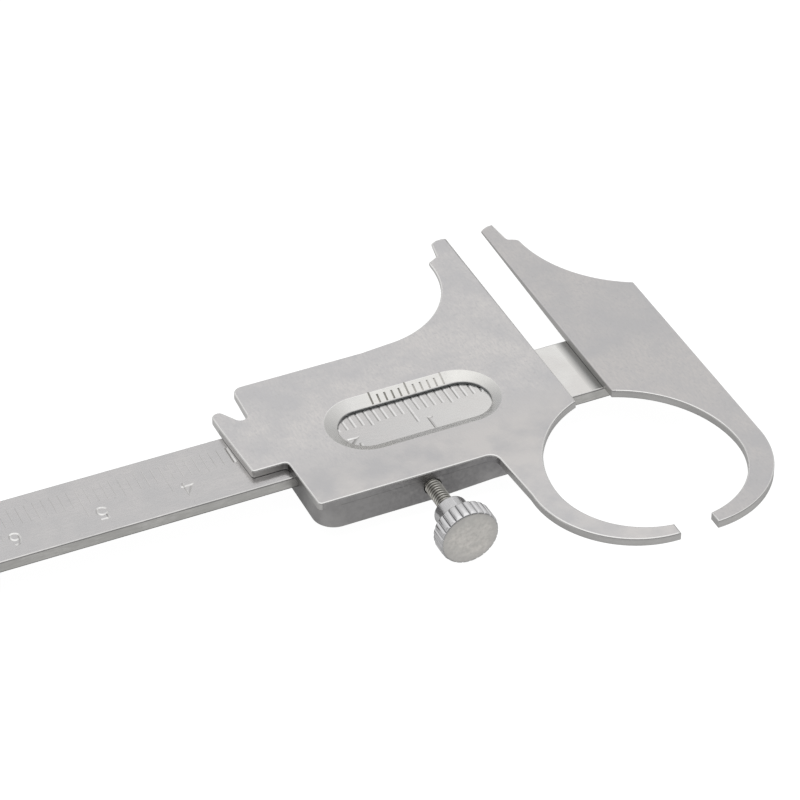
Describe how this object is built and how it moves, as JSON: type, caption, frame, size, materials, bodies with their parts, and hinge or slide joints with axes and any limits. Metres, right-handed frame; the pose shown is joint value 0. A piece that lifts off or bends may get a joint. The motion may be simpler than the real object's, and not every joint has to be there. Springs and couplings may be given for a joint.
{
  "type": "vernier caliper",
  "caption": "Flat sliding vernier caliper with pointed thickness jaws on one side, half-ring jaws on the other, a windowed vernier slider and a thumb screw lock.",
  "frame": {"origin": "on the fixed jaw's measuring face, on the beam's centre line, at half the thickness of the jaw plates", "axes": "+X along the beam from the free end towards the fixed jaw, +Y towards the pointed tips, +Z out of the graduated face"},
  "size_m": [0.1355, 0.0606, 0.007],
  "materials": {
    "beam_steel": "satin, finely brushed along the beam, semi-gloss",
    "jaw_steel": "satin, fine cross grain",
    "body_steel": "satin",
    "rivet_steel": "ground flush",
    "screw_steel": "turned",
    "knob_steel": "turned, satin",
    "spring_steel": "blued spring strip",
    "gib_brass": "rolled strip"
  },
  "bodies": {
    "ruler": {"beam": "beam_steel", "fixed_jaw": "jaw_steel", "jaw_rivets": "rivet_steel", "stop_pin": "rivet_steel"},
    "slider": {"slider_plate": "jaw_steel", "slider_body": "body_steel", "body_screws": "rivet_steel", "gib_strip": "gib_brass", "leaf_spring": "spring_steel"},
    "pad": {"clamp_pad": "gib_brass"},
    "screw": {"screw_stud": "screw_steel", "thumb_knob": "knob_steel"}
  },
  "joints": [
    {"name": "slider_travel", "type": "slide", "parent": "ruler", "child": "slider", "axis": [1, 0, 0], "range_m": [-0.0754, 0.00458]},
    {"name": "screw_feed", "type": "slide", "parent": "slider", "child": "pad", "axis": [0, 1, 0], "range_m": [-0.0012, 0.00003]},
    {"name": "knob_turn", "type": "hinge", "parent": "pad", "child": "screw", "pos_m": [-0.0248, -0.014, -0.0017], "axis": [0, 1, 0], "range_deg": [-1081, 28]}
  ],
  "couplings": [
    {"joint": "knob_turn", "follows": "screw_feed", "rad_per_m": 15708}
  ]
}
